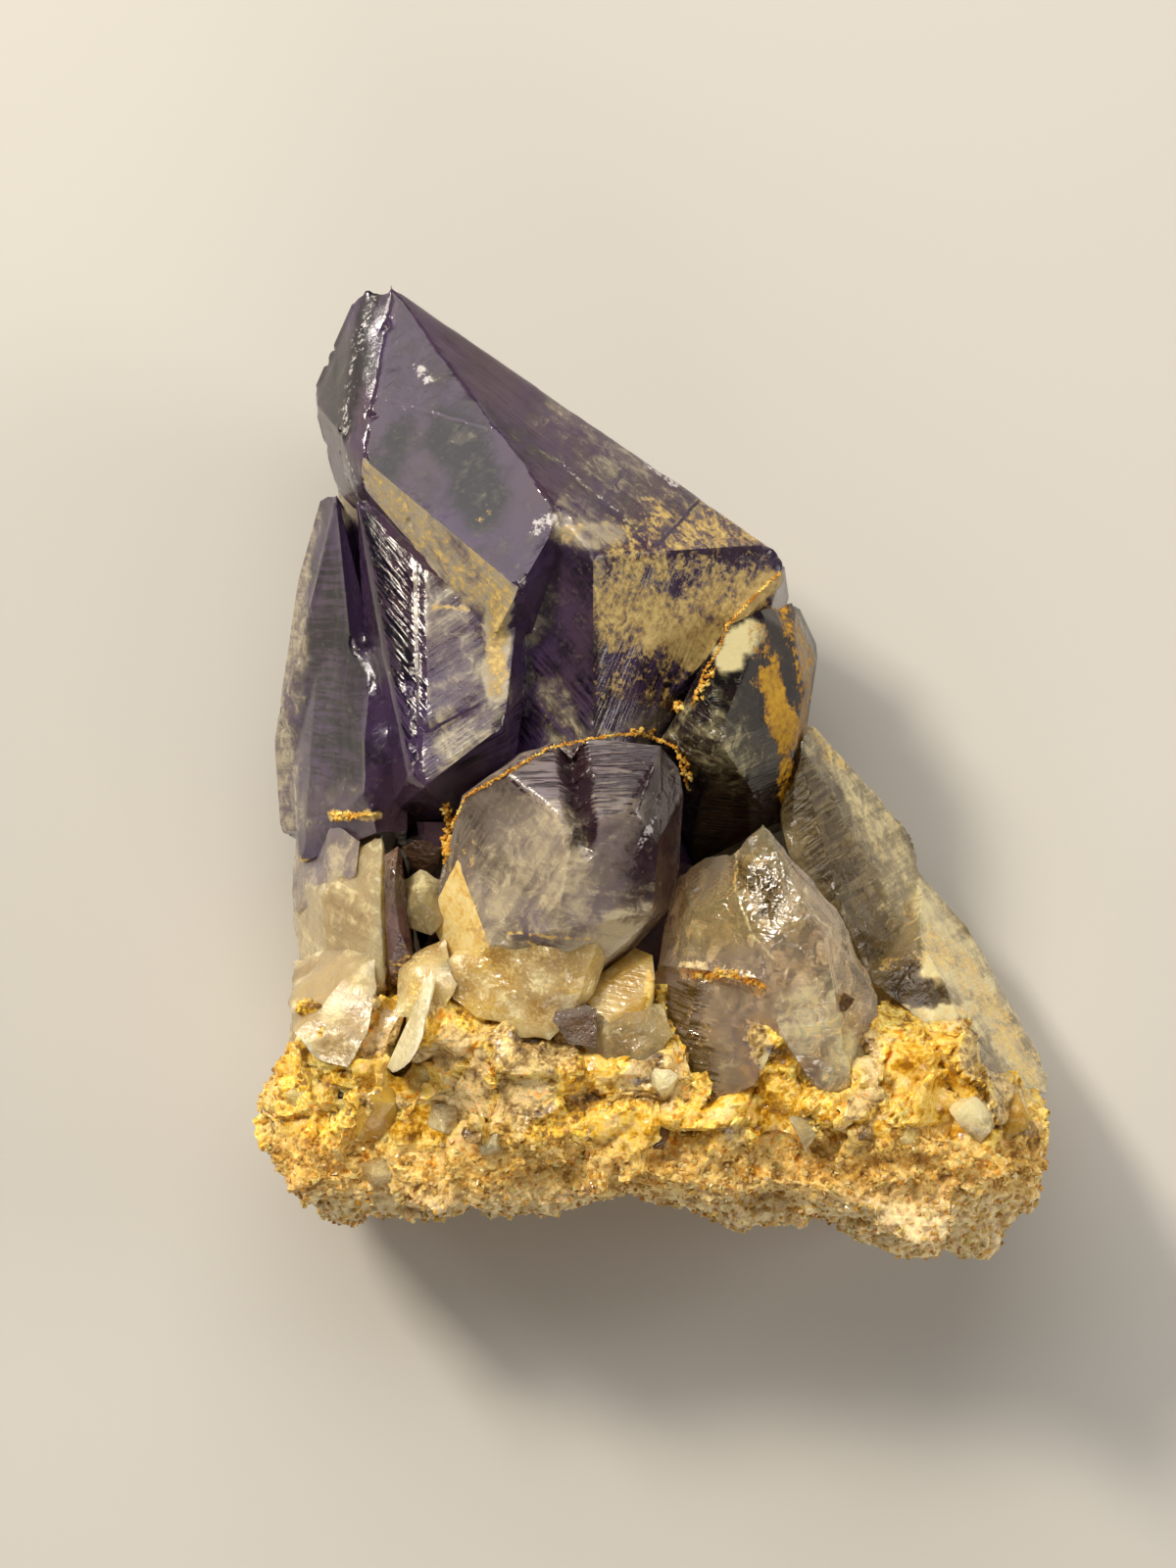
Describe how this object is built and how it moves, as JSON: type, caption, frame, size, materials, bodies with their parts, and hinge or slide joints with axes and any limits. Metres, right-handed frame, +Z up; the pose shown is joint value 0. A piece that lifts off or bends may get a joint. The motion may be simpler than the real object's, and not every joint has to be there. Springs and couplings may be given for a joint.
{
  "type": "amethyst cluster",
  "caption": "Amethyst and smoky quartz crystals grown together on a bar of ochre rock, lying on its back with the main point to one side.",
  "frame": {"origin": "under the middle of the footprint's bounding box, at the level the cluster rests on", "axes": "+Z up from the surface it lies on; +Y from the rock bar towards the main crystal's tip; +X along the rock bar, towards the pale smoky crystals"},
  "size_m": [0.1082, 0.1306, 0.0604],
  "materials": {
    "amethyst": "glossy natural crystal faces, dark violet, partly dusted with yellow iron stain",
    "dark_amethyst": "near-black violet crystal, glossy, with ochre stain",
    "front_amethyst": "smoky mauve clear crystal, striated, glossy",
    "lilac_quartz": "pale lilac-grey clear crystal, wet-looking gloss",
    "smoky_quartz": "pale grey-green translucent crystal, smoky inside",
    "milky_quartz": "milky beige translucent crystal",
    "dark_quartz": "glossy dark purple-brown crystal",
    "brown_quartz": "brown crystal, glossy",
    "yellow_quartz": "crystal stained honey yellow by iron",
    "clear_quartz": "thin clear crystal blade",
    "ochre_rock": "granular, sugary, iron-stained rock with small quartz points"
  },
  "bodies": {
    "root": {"main_crystal": "amethyst", "right_crystal": "dark_amethyst", "front_crystal": "front_amethyst", "lilac_crystals": "lilac_quartz", "smoky_crystals": "smoky_quartz", "milky_crystals": "milky_quartz", "dark_splinter": "dark_quartz", "brown_chip": "brown_quartz", "wedge_crystal": "yellow_quartz", "clear_blade": "clear_quartz", "rock_matrix": "ochre_rock"}
  },
  "joints": []
}
